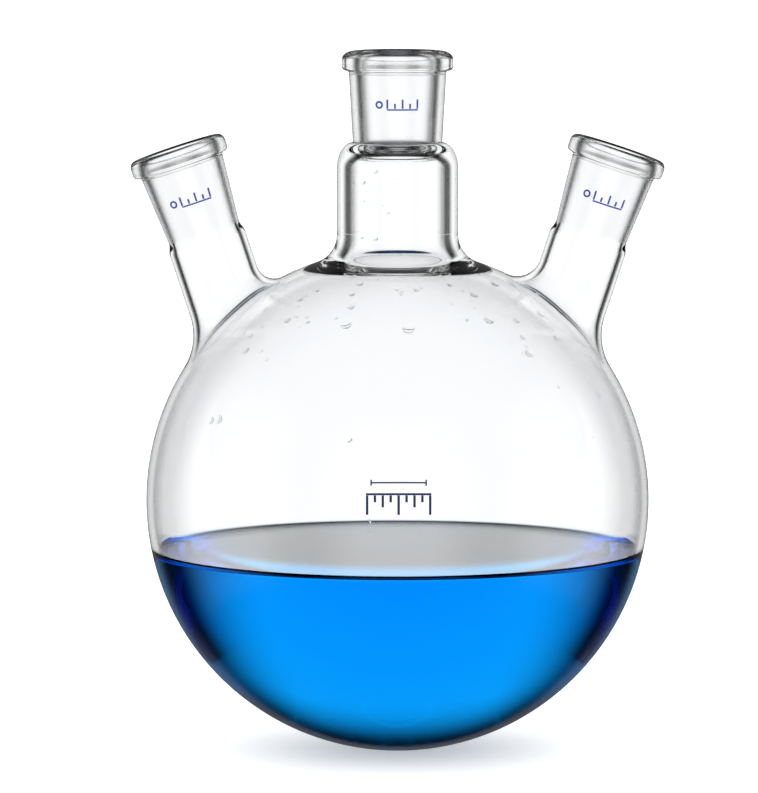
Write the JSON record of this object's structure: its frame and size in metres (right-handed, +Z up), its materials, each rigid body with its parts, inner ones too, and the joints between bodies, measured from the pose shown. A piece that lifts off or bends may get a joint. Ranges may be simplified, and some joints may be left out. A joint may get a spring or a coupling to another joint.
{
  "type": "three-neck round bottom flask",
  "caption": "Round bottom laboratory flask with an upright centre neck, two angled side necks and ground taper sockets, part filled with blue liquid.",
  "frame": {"origin": "on the centre neck's axis, level with the lowest point of the bulb", "axes": "+Z up along the centre neck; the side necks lean towards +X and -X; -Y is the front"},
  "size_m": [0.1754, 0.166, 0.2313],
  "materials": {
    "clear_glass": "polished",
    "ground_glass": "satin",
    "blue_liquid": "polished"
  },
  "bodies": {
    "root": {"bulb": "clear_glass", "centre_neck": "clear_glass", "left_neck": "clear_glass", "right_neck": "clear_glass", "centre_socket": "ground_glass", "left_socket": "ground_glass", "right_socket": "ground_glass", "liquid": "blue_liquid"}
  },
  "joints": []
}
